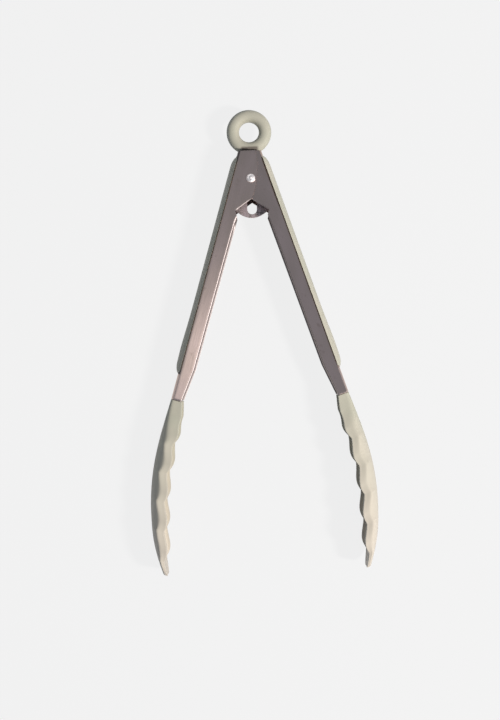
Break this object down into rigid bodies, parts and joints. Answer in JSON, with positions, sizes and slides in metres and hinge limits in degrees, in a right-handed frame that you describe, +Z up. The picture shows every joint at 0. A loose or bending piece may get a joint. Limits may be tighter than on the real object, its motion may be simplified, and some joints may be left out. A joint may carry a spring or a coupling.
{
  "type": "kitchen tongs",
  "caption": "Hinged kitchen tongs: sprung steel channel arms with silicone grips and scalloped scoop heads, and a hanging ring whose sliding plate locks them shut.",
  "frame": {"origin": "on the ground under the middle of the open tongs' box, lying on their side", "axes": "+Y along the tongs from the heads to the hanging ring, +X across them towards the right arm, +Z up along the hinge pin"},
  "size_m": [0.1436, 0.2966, 0.028],
  "materials": {
    "left_arm": "satin",
    "left_grip": "matte",
    "left_head": "matte",
    "left_core": "matte",
    "left_core_rivet": "polished",
    "right_arm": "satin",
    "right_grip": "matte",
    "right_head": "matte",
    "right_core": "matte",
    "right_core_rivet": "polished",
    "lock_plate": "satin",
    "pull_ring": "matte",
    "pivot_rivet": "polished",
    "pivot_sleeve": "plain",
    "near_washer": "matte",
    "far_washer": "matte",
    "torsion_spring": "drawn wire"
  },
  "bodies": {
    "pivot": {"pivot_rivet": "pivot_rivet", "pivot_sleeve": "pivot_sleeve", "near_washer": "near_washer", "far_washer": "far_washer", "torsion_spring": "torsion_spring"},
    "left_arm": {"left_arm": "left_arm", "left_grip": "left_grip", "left_head": "left_head", "left_core": "left_core", "left_core_rivet": "left_core_rivet"},
    "right_arm": {"right_arm": "right_arm", "right_grip": "right_grip", "right_head": "right_head", "right_core": "right_core", "right_core_rivet": "right_core_rivet"},
    "lock": {"lock_plate": "lock_plate", "pull_ring": "pull_ring"}
  },
  "joints": [
    {"name": "left_arm_close", "type": "hinge", "parent": "pivot", "child": "left_arm", "pos_m": [0, 0.10286, 0.014], "axis": [0, 0, 1], "range_deg": [0, 14.1], "stiffness_Nm_per_rad": 0.35, "springref_deg": -20.05, "deforming": ["torsion_spring"]},
    {"name": "right_arm_close", "type": "hinge", "parent": "pivot", "child": "right_arm", "pos_m": [0, 0.10286, 0.014], "axis": [0, 0, 1], "range_deg": [-14.1, 0], "stiffness_Nm_per_rad": 0.35, "springref_deg": 20.05, "deforming": ["torsion_spring"]},
    {"name": "lock_slide", "type": "slide", "parent": "pivot", "child": "lock", "axis": [0, 1, 0], "range_m": [0, 0.018]}
  ],
  "couplings": [
    {"joint": "right_arm_close", "follows": "left_arm_close", "ratio": -1}
  ]
}
